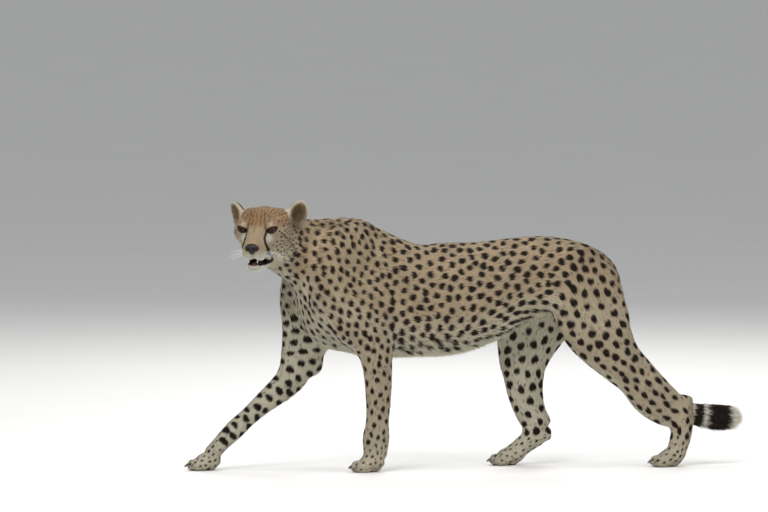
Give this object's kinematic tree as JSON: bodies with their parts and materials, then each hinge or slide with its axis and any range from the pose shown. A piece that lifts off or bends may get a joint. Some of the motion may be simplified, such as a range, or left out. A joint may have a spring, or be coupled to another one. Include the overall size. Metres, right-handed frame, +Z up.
{
  "type": "cheetah",
  "caption": "Still life-size model of a cheetah walking, its head turned to its left, as a museum shows one.",
  "frame": {"origin": "middle of the underside of the bounding box, on the floor", "axes": "the animal faces -X, its left side is -Y, +Z is up; the head is turned to its left, towards -Y"},
  "size_m": [1.5734, 0.3404, 0.7635],
  "materials": {
    "coat": "short tawny fur with black spots, pale underneath",
    "eye": "amber-brown, glossy",
    "claw": "dark horn, satin"
  },
  "bodies": {
    "root": {"head": "coat", "ear_left": "coat", "ear_right": "coat", "neck": "coat", "trunk": "coat", "foreleg_left": "coat", "forepaw_left": "coat", "foreleg_right": "coat", "forepaw_right": "coat", "thigh_left": "coat", "shank_left": "coat", "hindpaw_left": "coat", "thigh_right": "coat", "shank_right": "coat", "hindpaw_right": "coat", "tail_root": "coat", "tail_middle": "coat", "tail_tip": "coat", "eye_left": "eye", "eye_right": "eye", "claw_foreleg_left_1": "claw", "claw_foreleg_left_2": "claw", "claw_foreleg_left_3": "claw", "claw_foreleg_left_4": "claw", "claw_foreleg_right_1": "claw", "claw_foreleg_right_2": "claw", "claw_foreleg_right_3": "claw", "claw_foreleg_right_4": "claw", "claw_hindleg_left_1": "claw", "claw_hindleg_left_2": "claw", "claw_hindleg_left_3": "claw", "claw_hindleg_left_4": "claw", "claw_hindleg_right_1": "claw", "claw_hindleg_right_2": "claw", "claw_hindleg_right_3": "claw", "claw_hindleg_right_4": "claw"}
  },
  "joints": []
}
